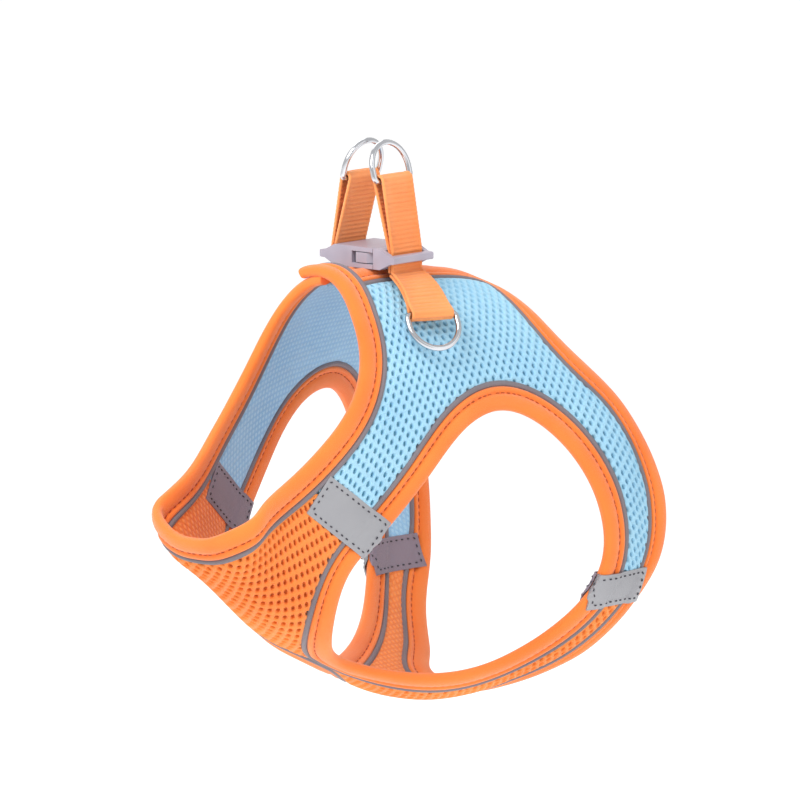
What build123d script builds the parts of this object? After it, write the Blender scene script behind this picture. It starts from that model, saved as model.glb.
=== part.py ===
from build123d import *
from math import acos, atan2, copysign, cos, hypot, pi, radians, sin
import os

os.makedirs("parts", exist_ok=True)

# Step-in mesh vest harness for a small dog, hanging by its two leash rings.
# Millimetres. +Z is up, the dog's head points to -X and its left side is -Y.
# The origin is where one hook or leash clip takes both upper D-rings.
# Heights of the vest are measured from the buckle's centre, leash_drop below the origin.

# ---------------------------------------------------------------- driving dimensions
leash_drop = 48.0            # leash point down to the buckle's centre

# The body of the vest: sections across X, each (x, centre height, half height, half width)
stations = [
    (-120, -104, 8, 12), (-117, -101, 16, 20.5), (-105, -92, 37, 28), (-65, -88.5, 71.5, 34),
    (-25, -93.5, 86.5, 44), (15, -102.5, 93.5, 55), (55, -106, 90, 65), (85, -111, 80, 71),
    (108, -114, 68, 69), (126, -118, 44, 52), (135, -119, 14, 16),
]
vest_half_length = 128.0
top_roundness = 1.9          # superellipse exponent above the centre line, a peaked back
belly_roundness = 2.5        # and below it, a flatter belly
section_points = 28

layer = 2.0                  # one layer of air mesh; the panel has two, outer and lining
binding_width = 10.5
piping_width = 2.0
webbing_width = 20.0
webbing_thick = 1.5

# Free edges of the vest in side view, as (x, height)
neck_edge = [(-36, 30), (-36, -8), (-39, -20), (-43, -36), (-53, -55), (-70, -72), (-92, -88),
             (-111, -99), (-117.5, -105.5), (-121, -111), (-127, -120)]
back_edge = [(48, -225), (49, -200), (72, -189), (94, -170), (110, -146), (113, -118),
             (106, -92), (91, -64), (77, -48), (70, -34), (69, -18), (69, 30)]

# Leg hole: its free edge in a plane tilted down towards the side
leg_tilt = 28.0
leg_centre = (20.0, 0.0, -100.0)
leg_edge = [(-76, -10), (-64, 4), (-41, 27), (-20, 46), (6, 54), (31, 45), (47, 26), (53, 2),
            (40, -27), (12, -50), (-28, -61), (-60, -57), (-76, -36)]

# Reflective tabs that join the orange panel to the blue ones, outside and inside, in side view
front_tab = dict(centre=(-60, -105), angle=-37.5, length=38, width=19)
rear_tab = dict(centre=(84, -150), angle=0, length=34, width=15)
tab_thick = 0.8
inner_tab_clear = 0.03    # the inner tabs hang this far off the lining

# Hook and loop closure along the spine, on a flap of the right panel
closure_from, closure_to = -22.0, 50.0
closure_reach = 22.0
tape_thick = 1.0
flap_thick = 1.6

# Buckle, lying across the back
buckle_half_length = 21.5
buckle_half_width = 13.0
buckle_half_thick = 4.6
rail_half_thick = 1.6        # thickness at the end bars
mouth = -9.0                 # where socket and plug meet, along Y
slot_half_width = 10.6       # webbing slot, across
slot_near, slot_far = 14.3, 18.6
window_end = 3.0             # the arms' windows run from the mouth to here
cavity_half_width = 10.8
cavity_half_thick = 2.6
arm_pivot = (9.0, -8.3)      # living hinge of each spring arm, as (x, y)
arm_thick = 2.5
arm_clear = 0.35

# D-rings
ring_wire = 1.3              # wire radius
ring_half_width = 11.7       # centre line of the wire
ring_height = 16.6           # bar to top, centre lines
ring_corner = 2.4
ring_clear = 0.35            # fold of webbing around the bar
upper_bar_y = 9.5
upper_lean = 16.0            # the upper rings lean towards each other
upper_bar_z = ring_wire - ring_height * cos(radians(upper_lean))
lower_bar = (-5.2, -35.7, -22.3)
lower_bar_axis = (0.92, -0.39, 0.0)
lower_hang = (-0.212, -0.5, -0.84)


# ---------------------------------------------------------------- the body's surface
def section_outline(middle, half_height, half_width):
    """Points round one section, starting at the back and going over the right side."""
    points = []
    for i in range(section_points):
        turn = 2 * pi * i / section_points
        c, s = cos(turn), sin(turn)
        power = 2 / (top_roundness if c > 0 else belly_roundness)
        y = half_width * copysign(abs(s) ** power, s)
        z = half_height * copysign(abs(c) ** power, c)
        points.append((y, middle + z - leash_drop))
    return points


def body_at(grow):
    """The solid inside the vest's middle surface, grown by so many millimetres."""
    with BuildPart() as body:
        for x, middle, half_height, half_width in stations:
            with BuildSketch(Plane.YZ.offset(x * (1 + grow / vest_half_length))):
                with BuildLine():
                    Spline(*section_outline(middle, half_height + grow, half_width + grow), periodic=True)
                make_face()
        loft()
    return body.part


def shell(inside, outside):
    with BuildPart() as cloth:
        add(outside)
        add(inside, mode=Mode.SUBTRACT)
    return cloth.part


def block(low, high):
    """A plain box from its corners, heights from the buckle's centre."""
    size = [b - a for a, b in zip(low, high)]
    centre = [(a + b) / 2 for a, b in zip(low, high)]
    with BuildPart() as box:
        with Locations((centre[0], centre[1], centre[2] - leash_drop)):
            Box(*size)
    return box.part


def side_prism(corners):
    """Everything inside an outline drawn in side view."""
    with BuildPart() as prism:
        with BuildSketch(Plane.XZ.shift_origin((0, 0, -leash_drop))):
            with BuildLine():
                Polyline(*corners, close=True)
            make_face()
        extrude(amount=120, both=True)
    return prism.part


# ---------------------------------------------------------------- zones cut out of the cloth
def shifted(points, distance, closed=False):
    """An outline's points moved sideways, to the left of the way it runs."""
    moved = []
    count = len(points)
    for i, (x, y) in enumerate(points):
        before = points[i - 1] if closed or i > 0 else points[i]
        after = points[(i + 1) % count] if closed or i < count - 1 else points[i]
        dx, dy = after[0] - before[0], after[1] - before[1]
        length = hypot(dx, dy)
        moved.append((x - distance * dy / length, y + distance * dx / length))
    return moved


def edge_zone(edge, corners, inset):
    """The vest's side of an edge drawn in side view, from inset inwards."""
    with BuildPart() as zone:
        with BuildSketch(Plane.XZ.shift_origin((0, 0, -leash_drop))):
            with BuildLine():
                line = Spline(*shifted(edge, inset))
                Polyline(line @ 1, *corners, line @ 0)
            make_face()
        extrude(amount=120, both=True)
    return zone.part


def neck_zone(inset):
    return edge_zone(neck_edge, [(-150, -225), (160, -225), (160, 40)], inset)


def back_zone(inset):
    return edge_zone(back_edge, [(-150, 30), (-150, -225)], inset)


def spine_zone(inset):
    """The gap between the two panels' spine edges, and inset more on each side."""
    return block((-80, -0.5 - inset, -60), (110, 0.5 + inset, 60))


def leg_zone(outset):
    """What lies inside the left leg hole, or nearer than outset to its edge."""
    side = Plane(
        origin=(leg_centre[0], leg_centre[1], leg_centre[2] - leash_drop),
        x_dir=(1, 0, 0),
        z_dir=(0, -cos(radians(leg_tilt)), -sin(radians(leg_tilt))),
    )
    with BuildPart() as zone:
        with BuildSketch(side):
            with BuildLine():
                Spline(*shifted(leg_edge, outset, closed=True), periodic=True)
            make_face()
        extrude(amount=130)
    return zone.part


def mirrored(solid):
    with BuildPart() as other:
        mirror(solid, about=Plane.XZ)
    return other.part


def cut(solid, keep=(), drop=()):
    """A solid with what is outside each keep zone and inside each drop zone taken away."""
    with BuildPart() as result:
        add(solid)
        for zone in keep:
            add(zone, mode=Mode.INTERSECT)
        for zone in drop:
            add(zone, mode=Mode.SUBTRACT)
    return result.part


def save(solid, name):
    solid.label = name
    export_step(solid, f"parts/{name}.step")


piping_edge = binding_width + piping_width
inner_tab_top = -layer - inner_tab_clear
tab_faces = (layer + tab_thick, inner_tab_top, inner_tab_top - tab_thick)
skin = {grow: body_at(grow) for grow in (-layer, 0, layer, *tab_faces)}
whole = shell(skin[-layer], skin[layer])
steps = (0, binding_width, piping_edge)
necks = {inset: neck_zone(inset) for inset in steps}
backs = {inset: back_zone(inset) for inset in steps}
spines = {inset: spine_zone(inset) for inset in steps}
legs = {outset: leg_zone(outset) for outset in steps}
left_half = block((-160, -120, -240), (160, 0, 60))
right_half = block((-160, 0, -240), (160, 120, 60))

# ---------------------------------------------------------------- air-mesh panels and linings
# Below the two seams the panel is the orange chest and belly piece, above them the sides
chest_zone = side_prism([(-140, -43), (-28, -129), (40, -150), (160, -150), (160, -230), (-160, -230)])

layers = {"mesh": shell(skin[0], skin[layer]), "lining": shell(skin[-layer], skin[0])}
for kind, cloth in layers.items():
    leg_holes = [legs[piping_edge], mirrored(legs[piping_edge])]
    panel = cut(cloth, keep=[necks[piping_edge], backs[piping_edge]], drop=[spines[piping_edge], *leg_holes])
    save(cut(panel, keep=[chest_zone]), f"chest_{kind}")
    sides = cut(panel, drop=[chest_zone])
    save(cut(sides, keep=[left_half]), f"left_side_{kind}")
    save(cut(sides, keep=[right_half]), f"right_side_{kind}")

# ---------------------------------------------------------------- bindings and reflective piping
# Each kind is a band from its outer step to its inner one, along the neck, the back and the
# spine edges, and round each leg hole
for kind, outer, inner in (("binding", 0, binding_width), ("piping", binding_width, piping_edge)):
    save(cut(whole, keep=[necks[outer]], drop=[necks[inner], spines[outer]]), f"neck_{kind}")
    rear = cut(whole, keep=[backs[outer], necks[inner]], drop=[backs[inner], spines[outer]])
    spine = cut(whole, keep=[spines[inner], necks[inner], backs[inner]], drop=[spines[outer]])
    for side, half in (("left", left_half), ("right", right_half)):
        with BuildPart() as edge:
            add(cut(rear, keep=[half]))
            add(cut(spine, keep=[half]))
        save(edge.part, f"{side}_back_{kind}")
    ring = cut(whole, keep=[left_half, legs[inner]], drop=[legs[outer]])
    save(ring, f"left_leg_{kind}")
    save(mirrored(ring), f"right_leg_{kind}")


# ---------------------------------------------------------------- reflective tabs
def make_tab(size, inner, outer):
    """A tab between two grown skins, on the left side."""
    with BuildPart() as outline:
        plane = Plane.XZ.shift_origin((size["centre"][0], 0, size["centre"][1] - leash_drop))
        with BuildSketch(plane.rotated((0, 0, size["angle"]))):
            RectangleRounded(size["length"], size["width"], 1.0)
        extrude(amount=120)
    return cut(shell(skin[inner], skin[outer]), keep=[outline.part])


for place, size in (("front", front_tab), ("rear", rear_tab)):
    tab = make_tab(size, layer, layer + tab_thick)
    save(tab, f"left_{place}_tab")
    save(mirrored(tab), f"right_{place}_tab")
    backing = make_tab(size, inner_tab_top - tab_thick, inner_tab_top)
    save(backing, f"left_{place}_inner_tab")
    save(mirrored(backing), f"right_{place}_inner_tab")

# ---------------------------------------------------------------- spine closure
tape_top = -layer
for name in ("hook_tape", "loop_tape"):
    strip = shell(body_at(tape_top - tape_thick), body_at(tape_top))
    save(cut(strip, keep=[block((closure_from, -closure_reach, -60), (closure_to, -1.5, 20))]), name)
    tape_top -= tape_thick
flap = shell(body_at(tape_top - flap_thick), body_at(tape_top))
flap_top = shell(body_at(tape_top - flap_thick), skin[-layer])
with BuildPart() as closure_flap:
    add(cut(flap, keep=[block((closure_from, -closure_reach, -60), (closure_to, 12, 20))]))
    add(cut(flap_top, keep=[block((closure_from, 1, -60), (closure_to, 12, 20))]))
save(closure_flap.part, "closure_flap")

# ---------------------------------------------------------------- buckle
buckle_plane = Plane.YZ.shift_origin((0, 0, -leash_drop))


def buckle_blank():
    """The closed buckle's outside, tapering to thin rails at both webbing ends."""
    with BuildPart() as blank:
        with BuildSketch(buckle_plane):
            with BuildLine():
                Polyline(
                    (-buckle_half_length, -rail_half_thick), (-buckle_half_length, rail_half_thick),
                    (-slot_far, rail_half_thick + 0.2), (-13, buckle_half_thick),
                    (13, buckle_half_thick), (slot_far, rail_half_thick + 0.2),
                    (buckle_half_length, rail_half_thick), (buckle_half_length, -rail_half_thick),
                    (slot_far, -rail_half_thick - 0.2), (13, -buckle_half_thick),
                    (-13, -buckle_half_thick), (-slot_far, -rail_half_thick - 0.2), close=True,
                )
            make_face()
        extrude(amount=buckle_half_width, both=True)
        fillet(blank.edges().filter_by(Axis.X), radius=0.7)
    return blank.part


webbing_slots = [
    block((-slot_half_width, side * slot_near if side > 0 else -slot_far, -9),
          (slot_half_width, slot_far if side > 0 else -slot_near, 9))
    for side in (-1, 1)
]
with BuildPart() as buckle_socket:
    add(cut(buckle_blank(), keep=[block((-20, mouth, -9), (20, 30, 9))], drop=[webbing_slots[1]]))
    add(block((-cavity_half_width, mouth - 1, -cavity_half_thick),
              (cavity_half_width, 9.5, cavity_half_thick)), mode=Mode.SUBTRACT)
    add(block((-20, mouth - 1, -cavity_half_thick), (20, window_end, cavity_half_thick)),
        mode=Mode.SUBTRACT)
save(buckle_socket.part, "buckle_socket")

with BuildPart() as buckle_plug:
    add(cut(buckle_blank(), keep=[block((-20, -30, -9), (20, mouth - 0.3, 9))], drop=[webbing_slots[0]]))
    add(block((-3.2, mouth - 1, -1.8), (3.2, 8.0, 1.8)))
    # hollows that the arms' round roots turn in
    with BuildSketch(Plane.XY.offset(-leash_drop - 3)):
        with Locations((-arm_pivot[0], arm_pivot[1]), (arm_pivot[0], arm_pivot[1])):
            Circle(arm_thick / 2 + arm_clear)
    extrude(amount=6, mode=Mode.SUBTRACT)
save(buckle_plug.part, "buckle_plug")

# One spring arm on the rear side, its pad flush with the socket's side
arm_height = 2 * (cavity_half_thick - arm_clear)
with BuildPart() as rear_arm:
    with BuildSketch(Plane.XY.offset(-leash_drop - arm_height / 2)):
        with Locations(arm_pivot):
            Circle(arm_thick / 2)
        with BuildLine():
            Polyline(
                (arm_pivot[0] - arm_thick / 2, arm_pivot[1]), (arm_pivot[0] + arm_thick / 2, arm_pivot[1]),
                (buckle_half_width, -5.5), (buckle_half_width, window_end - 2.4),
                (cavity_half_width - 0.6, window_end - arm_clear), (cavity_half_width - 1.2, 8.0),
                (cavity_half_width - 3.2, 8.6), (arm_pivot[0] - arm_thick / 2, 4.0), close=True,
            )
        make_face()
    extrude(amount=arm_height)
save(rear_arm.part, "rear_release_arm")
with BuildPart() as front_arm:
    mirror(rear_arm.part, about=Plane.YZ)
save(front_arm.part, "front_release_arm")


# ---------------------------------------------------------------- D-rings
def d_ring(bar_centre, bar_axis, top_direction):
    """A welded D-ring, its straight bar centred at bar_centre."""
    across = Vector(*bar_axis).normalized()
    up = Vector(*top_direction).normalized()
    plane = Plane(origin=bar_centre, x_dir=across, z_dir=across.cross(up))
    leg = ring_height - ring_half_width
    with BuildPart() as ring:
        with BuildLine(plane) as wire:
            Line((-ring_half_width + ring_corner, 0), (ring_half_width - ring_corner, 0))
            RadiusArc((ring_half_width - ring_corner, 0), (ring_half_width, ring_corner), -ring_corner)
            Line((ring_half_width, ring_corner), (ring_half_width, leg))
            ThreePointArc((ring_half_width, leg), (0, ring_height), (-ring_half_width, leg))
            Line((-ring_half_width, leg), (-ring_half_width, ring_corner))
            RadiusArc((-ring_half_width, ring_corner), (-ring_half_width + ring_corner, 0), -ring_corner)
        with BuildSketch(Plane(origin=wire.line @ 0, z_dir=wire.line % 0)):
            Circle(ring_wire)
        sweep(path=wire.line)
    return ring.part


lean = radians(upper_lean)
left_upper = d_ring((0, -upper_bar_y, upper_bar_z), (1, 0, 0), (0, sin(lean), cos(lean)))
save(left_upper, "left_upper_ring")
save(mirrored(left_upper), "right_upper_ring")
lower_centre = (lower_bar[0], lower_bar[1], lower_bar[2] - leash_drop)
left_lower = d_ring(lower_centre, lower_bar_axis, lower_hang)
save(left_lower, "left_lower_ring")
save(mirrored(left_lower), "right_lower_ring")

# ---------------------------------------------------------------- webbing
fold_radius = ring_wire + ring_clear + webbing_thick / 2
slot_middle = (slot_near + slot_far) / 2
strap_low = -leash_drop - 6.0


def touch_point(point, centre, radius, side):
    """Where a strand from point meets a round fold, on the side named by +1 or -1."""
    dy, dz = point[0] - centre[0], point[1] - centre[1]
    angle = atan2(dz, dy) + side * acos(radius / hypot(dy, dz))
    return (centre[0] + radius * cos(angle), centre[1] + radius * sin(angle))


# The left strap's loop: both strands come out of the slot and fold over the ring's bar
with BuildPart() as left_strap:
    with BuildSketch(Plane.YZ):
        bar = (-upper_bar_y, upper_bar_z)
        gap = webbing_thick / 2 + 0.05
        outer_low = (-slot_middle - gap, -leash_drop + 3)
        inner_low = (-slot_middle + gap, -leash_drop + 3)
        outer_top = touch_point(outer_low, bar, fold_radius, -1)
        inner_top = touch_point(inner_low, bar, fold_radius, 1)
        with BuildLine() as strand:
            Line((outer_low[0], strap_low), outer_low)
            Line(outer_low, outer_top)
            ThreePointArc(outer_top, (bar[0], bar[1] + fold_radius), inner_top)
            Line(inner_top, inner_low)
            Line(inner_low, (inner_low[0], strap_low))
        trace(line_width=webbing_thick)
    extrude(amount=webbing_width / 2, both=True)
save(left_strap.part, "left_strap")
save(mirrored(left_strap.part), "right_strap")

# The shoulder strap: the same webbing, doubled, from the buckle's slot to its fold round the
# lower ring's bar, where it is sewn to the side panel
strap_thick = 2 * webbing_thick
hang = Vector(*lower_hang)
bar_axis = Vector(*lower_bar_axis)
fold_plane = Plane(origin=lower_centre, x_dir=bar_axis, z_dir=bar_axis.cross(hang))
with BuildPart() as left_shoulder_strap:
    with BuildSketch(Plane.XY.offset(strap_low - 0.3)):
        with Locations((0, -slot_middle)):
            Rectangle(webbing_width, strap_thick)
    with BuildSketch(Plane(origin=lower_centre, x_dir=bar_axis, z_dir=hang * -1)):
        Rectangle(webbing_width, strap_thick)
    loft()
    with BuildSketch(Plane(origin=lower_centre, z_dir=bar_axis)):
        Circle(ring_wire + ring_clear + webbing_thick)
    extrude(amount=webbing_width / 2, both=True)
    with BuildSketch(Plane(origin=lower_centre, z_dir=bar_axis)):
        Circle(ring_wire + ring_clear)
    extrude(amount=webbing_width / 2 + 2, both=True, mode=Mode.SUBTRACT)
save(left_shoulder_strap.part, "left_shoulder_strap")
save(mirrored(left_shoulder_strap.part), "right_shoulder_strap")
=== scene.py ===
import math

import bpy
import numpy as np
from mathutils import Matrix, Vector, kdtree


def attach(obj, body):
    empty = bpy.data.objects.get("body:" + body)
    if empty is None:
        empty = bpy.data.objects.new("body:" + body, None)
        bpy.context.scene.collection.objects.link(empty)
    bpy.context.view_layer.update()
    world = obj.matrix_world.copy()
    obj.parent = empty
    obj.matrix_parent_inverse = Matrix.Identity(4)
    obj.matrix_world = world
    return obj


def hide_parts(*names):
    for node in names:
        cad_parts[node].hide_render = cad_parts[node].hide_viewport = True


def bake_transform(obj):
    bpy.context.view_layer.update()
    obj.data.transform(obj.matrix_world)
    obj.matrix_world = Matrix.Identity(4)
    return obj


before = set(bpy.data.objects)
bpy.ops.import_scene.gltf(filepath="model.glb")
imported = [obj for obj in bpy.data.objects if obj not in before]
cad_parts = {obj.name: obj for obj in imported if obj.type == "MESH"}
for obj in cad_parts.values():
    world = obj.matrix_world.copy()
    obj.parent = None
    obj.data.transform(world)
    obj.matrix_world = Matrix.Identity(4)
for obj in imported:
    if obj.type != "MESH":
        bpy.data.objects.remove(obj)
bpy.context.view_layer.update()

mm = 0.001
body = "vest"

# The vest's middle surface: sections across X, each x, centre height, half height, half width.
# Lengths are millimetres here, and heights are from the buckle's centre.
vest = dict(
    drop=48,               # leash point down to the buckle's centre
    stations=[
        (-120, -104, 8, 12), (-117, -101, 16, 20.5), (-105, -92, 37, 28), (-65, -88.5, 71.5, 34),
        (-25, -93.5, 86.5, 44), (15, -102.5, 93.5, 55), (55, -106, 90, 65), (85, -111, 80, 71),
        (108, -114, 68, 69), (126, -118, 44, 52), (135, -119, 14, 16),
    ],
    backRoundness=1.9,
    bellyRoundness=2.5,
    noseDepth=1.7,           # how far the front end bulges past its first section
)


# curves and the surface they lie on

def splineThrough(knots, values):
    # natural cubic through the values, one column for each coordinate
    t, y = np.asarray(knots, float), np.asarray(values, float)
    gap, count = np.diff(t), len(t)
    system, right = np.eye(count), np.zeros_like(y)
    for i in range(1, count - 1):
        system[i, i - 1:i + 2] = gap[i - 1], 2 * (gap[i - 1] + gap[i]), gap[i]
        right[i] = 6 * ((y[i + 1] - y[i]) / gap[i] - (y[i] - y[i - 1]) / gap[i - 1])
    bend = np.linalg.solve(system, right)

    def at(where):
        where = np.clip(where, t[0], t[-1])
        i = np.clip(np.searchsorted(t, where) - 1, 0, count - 2)
        b = ((where - t[i]) / gap[i])[..., None]
        a = 1 - b
        curve = ((a**3 - a) * bend[i] + (b**3 - b) * bend[i + 1]) * (gap[i] ** 2)[..., None] / 6
        return a * y[i] + b * y[i + 1] + curve

    return at


def runLength(points):
    return np.concatenate([[0], np.cumsum(np.linalg.norm(np.diff(points, axis=0), axis=1))])


def drawnCurve(points, count, closed=False):
    p = np.array(points, float)
    if closed:
        p = np.vstack([p, p, p, p[:1]])      # three rounds, of which the middle one is kept
    t = runLength(p)
    first, last = (t[len(points)], t[2 * len(points)]) if closed else (t[0], t[-1])
    return splineThrough(t, p)(np.linspace(first, last, count))


def evenly(points, step, closed=False):
    # the same line with its points a step apart
    if closed:
        points = np.vstack([points, points[:1]])
    t = runLength(points)
    count = max(8, int(round(t[-1] / step)))
    where = np.linspace(0, t[-1], count, endpoint=False) if closed else np.linspace(0, t[-1], count)
    return np.stack([np.interp(where, t, points[:, k]) for k in range(3)], -1)


stations = np.array(vest["stations"], float)
sizeAt = splineThrough(stations[:, 0], stations[:, 1:])


def sectionAt(x):
    middle, halfHeight, halfWidth = np.moveaxis(sizeAt(np.asarray(x, float)), -1, 0)
    return middle, halfHeight, halfWidth


def onSection(x, turn):
    # a point of the surface; turn runs from 0 at the back's middle to pi at the belly's, left side plus
    middle, halfHeight, halfWidth = sectionAt(x)
    c, s = np.cos(turn), np.sin(turn)
    power = 2 / np.where(c > 0, vest["backRoundness"], vest["bellyRoundness"])
    y = -halfWidth * np.sign(s) * np.abs(s) ** power
    return np.stack([x + 0 * y, y, middle + halfHeight * np.sign(c) * np.abs(c) ** power], -1)


def outOfBody(p):
    # below 0 inside the middle surface, above 0 outside it
    middle, halfHeight, halfWidth = sectionAt(p[..., 0])
    power = np.where(p[..., 2] > middle, vest["backRoundness"], vest["bellyRoundness"])
    nose = np.maximum(0, stations[0, 0] - p[..., 0]) / vest["noseDepth"]
    sideways = np.abs(p[..., 1] / halfWidth) ** power
    return sideways + np.abs((p[..., 2] - middle) / halfHeight) ** power - 1 + nose


def slope(p, step=0.05):
    return np.stack([outOfBody(p + e) - outOfBody(p - e) for e in np.eye(3) * step], -1) / (2 * step)


def unit(v):
    return v / np.maximum(np.linalg.norm(v, axis=-1, keepdims=True), 1e-12)


def outward(p):
    return unit(slope(p))


def ontoBody(p, rounds=4):
    for _ in range(rounds):
        g = slope(p)
        p = p - g * (outOfBody(p) / np.maximum((g**2).sum(-1), 1e-9))[..., None]
    return p


def mirrored(p):
    return p * np.array([1, -1, 1])


# meshes from arrays of points, in millimetres from the buckle's centre

def makeMesh(name, points, faces, uv):
    mesh = bpy.data.meshes.new(name)
    placed = (np.asarray(points).reshape(-1, 3) - np.array([0, 0, vest["drop"]])) * mm
    mesh.from_pydata(placed.tolist(), [], [list(map(int, f)) for f in faces])
    layer = mesh.uv_layers.new(name="cloth")
    corner = np.zeros(len(mesh.loops), np.int32)
    mesh.loops.foreach_get("vertex_index", corner)
    flat = np.asarray(uv).reshape(-1, 2)[corner] * mm
    layer.data.foreach_set("uv", flat.astype(np.float32).ravel())
    piece = bpy.data.objects.new(name, mesh)
    bpy.context.collection.objects.link(piece)
    choose(piece)
    bpy.ops.object.mode_set(mode="EDIT")
    bpy.ops.mesh.select_all(action="SELECT")
    bpy.ops.mesh.normals_make_consistent(inside=False)
    bpy.ops.object.mode_set(mode="OBJECT")
    return piece


def choose(piece):
    bpy.ops.object.select_all(action="DESELECT")
    bpy.context.view_layer.objects.active = piece
    piece.select_set(True)


def smooth(piece, degrees=180):
    choose(piece)
    if degrees >= 180:
        bpy.ops.object.shade_smooth()
    else:
        bpy.ops.object.shade_smooth_by_angle(angle=math.radians(degrees))


def otherSide(piece, name):
    # the same piece made for the right side, with a mesh of its own
    copy = piece.copy()
    copy.data = piece.data.copy()
    copy.name = copy.data.name = name
    for key in list(copy.keys()):
        del copy[key]        # the left piece's own notes stay with it
    bpy.context.collection.objects.link(copy)
    copy.data.transform(Matrix.Diagonal((1, -1, 1, 1)))
    copy.data.flip_normals()
    return copy


def skinGrid(rows, around, closedLong):
    # faces over a grid of rows by around points, with flat ends where the length is open
    faces = []
    for i in range(rows if closedLong else rows - 1):
        a, b = i * around, ((i + 1) % rows) * around
        for j in range(around):
            k = (j + 1) % around
            faces.append((a + j, a + k, b + k, b + j))
    if not closedLong:
        faces.append(tuple(range(around))[::-1])
        faces.append(tuple((rows - 1) * around + j for j in range(around)))
    return faces


# free edges of the vest, drawn in side view, and the leg holes, drawn in a tilted plane

edges = dict(
    step=1.2,
    neck=[(-36, 30), (-36, -8), (-39, -20), (-43, -36), (-53, -55), (-70, -72), (-92, -88),
          (-111, -99), (-117.5, -105.5), (-121, -111), (-127, -120)],
    back=[(48, -225), (49, -200), (72, -189), (94, -170), (110, -146), (113, -118), (106, -92),
          (91, -64), (77, -48), (70, -34), (69, -18), (69, 30)],
    leg=[(-76, -10), (-64, 4), (-41, 27), (-20, 46), (6, 54), (31, 45), (47, 26), (53, 2), (40, -27),
         (12, -50), (-28, -61), (-60, -57), (-76, -36)],
    legCentre=(20, 0, -100),
    legTilt=28,
    spineFront=-30,        # where the spine edge starts, under the neck binding
    spineGap=0.7,
    corner=17,             # rounding where the spine edge turns into the back edge
    beltGap=0.4, bandReach=13.6,
    lap=9,                 # how far the left end of the neck binding laps over the right one
)


def halfEdge(drawn):
    # the left half of an edge drawn in side view, where it crosses the surface
    line = drawnCurve(drawn, 9000)
    middle, halfHeight, halfWidth = sectionAt(line[:, 0])
    power = np.where(line[:, 1] > middle, vest["backRoundness"], vest["bellyRoundness"])
    nose = np.maximum(0, stations[0, 0] - line[:, 0]) / vest["noseDepth"]
    room = 1 - np.abs((line[:, 1] - middle) / halfHeight) ** power - nose
    keep = room > 0
    y = -halfWidth[keep] * room[keep] ** (1 / power[keep])
    return np.stack([line[keep, 0], y, line[keep, 1]], -1)


def legHole():
    tilt = math.radians(edges["legTilt"])
    along, up = np.array([1, 0, 0.0]), np.array([0, -math.sin(tilt), math.cos(tilt)])
    out = np.array([0, -math.cos(tilt), -math.sin(tilt)])
    drawn = drawnCurve(edges["leg"], 500, closed=True)[:-1]
    start = np.array(edges["legCentre"], float) + drawn[:, :1] * along + drawn[:, 1:] * up
    reach = np.linspace(0, 130, 521)
    field = outOfBody(start[:, None] + reach[None, :, None] * out)
    last = field.shape[1] - 2 - np.argmax((np.diff(np.sign(field), axis=1) > 0)[:, ::-1], axis=1)
    near, far = field[np.arange(len(last)), last], field[np.arange(len(last)), last + 1]
    depth = reach[last] + (reach[1] - reach[0]) * near / (near - far)
    return start + depth[:, None] * out


def edgeFrames(points, closed, towards):
    # even points along an edge, each with its tangent, outward normal and the way into the cloth
    p = ontoBody(evenly(points, edges["step"], closed))
    reach = 3
    if closed:
        tangent = unit(np.roll(p, -reach, 0) - np.roll(p, reach, 0))
    else:
        padded = np.vstack([2 * p[0] - p[reach:0:-1], p, 2 * p[-1] - p[-2:-2 - reach:-1]])
        tangent = unit(padded[2 * reach:] - padded[:-2 * reach])
    normal = outward(p)
    inward = unit(np.cross(normal, tangent))
    if towards(p, inward) < 0:
        inward = -inward
    return dict(p=p, t=tangent, n=normal, b=inward, closed=closed, length=runLength(p))


def walkIn(edge, distances):
    # points at these distances in from the free edge, following the cloth in small steps
    where, heading, table = edge["p"], edge["b"], [edge["p"]]
    stride = 1.0
    if edge["closed"]:
        # where a leg hole comes near the belly's middle line its band narrows, so the two bands only meet
        stride = np.clip((np.abs(edge["p"][:, 1:2]) - edges["beltGap"]) / edges["bandReach"], 0.3, 1)
    for _ in range(14):
        where = ontoBody(where + heading * stride, 2)
        normal = outward(where)
        heading = unit(heading - normal * (heading * normal).sum(-1, keepdims=True))
        table.append(where)
    table = np.stack(table, 1)
    step = np.asarray(distances, float)
    i = np.clip(step.astype(int), 0, 13)
    share = (step - i)[None, :, None]
    return table[:, i] * (1 - share) + table[:, i + 1] * share


def neckPath():
    left = halfEdge(edges["neck"])
    left = left[np.argsort(-left[:, 2])] if left[0, 2] < left[-1, 2] else left
    right = mirrored(left)
    lap = right[runLength(right) < edges["lap"]][::-1]
    return np.vstack([lap, left, right[::-1]])


def backPath():
    rear = halfEdge(edges["back"])[::-1]                     # from the top to the belly
    rear = rear[rear[:, 1] < -edges["spineGap"]] if rear[0, 1] > -edges["spineGap"] else rear
    x = np.arange(edges["spineFront"], rear[0, 0], 0.5)
    spine = onSection(x, np.zeros_like(x))
    spine[:, 1] = -edges["spineGap"]
    # the corner is rounded by a curve through its two ends
    a = spine[runLength(spine) < runLength(spine)[-1] - edges["corner"]]
    b = rear[runLength(rear) > edges["corner"]]
    t = np.linspace(0, 1, 60)[1:-1, None]
    turn = (1 - t) ** 2 * a[-1] + 2 * t * (1 - t) * rear[0] + t**2 * b[0]
    half = np.vstack([a, turn, b])
    return np.vstack([half, mirrored(half)[::-1]])


print("laying out the edges")
neckEdge = edgeFrames(neckPath(), False, lambda p, b: b[len(b) // 4:3 * len(b) // 4, 0].mean())
backEdge = edgeFrames(backPath(), False, lambda p, b: -b[np.argmax(p[:, 0]), 0])
leftLegEdge = edgeFrames(legHole(), True, lambda p, b: ((p - p.mean(0)) * b).sum())
rightLegEdge = {k: mirrored(v) if k in "ptnb" else v for k, v in leftLegEdge.items()}

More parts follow.
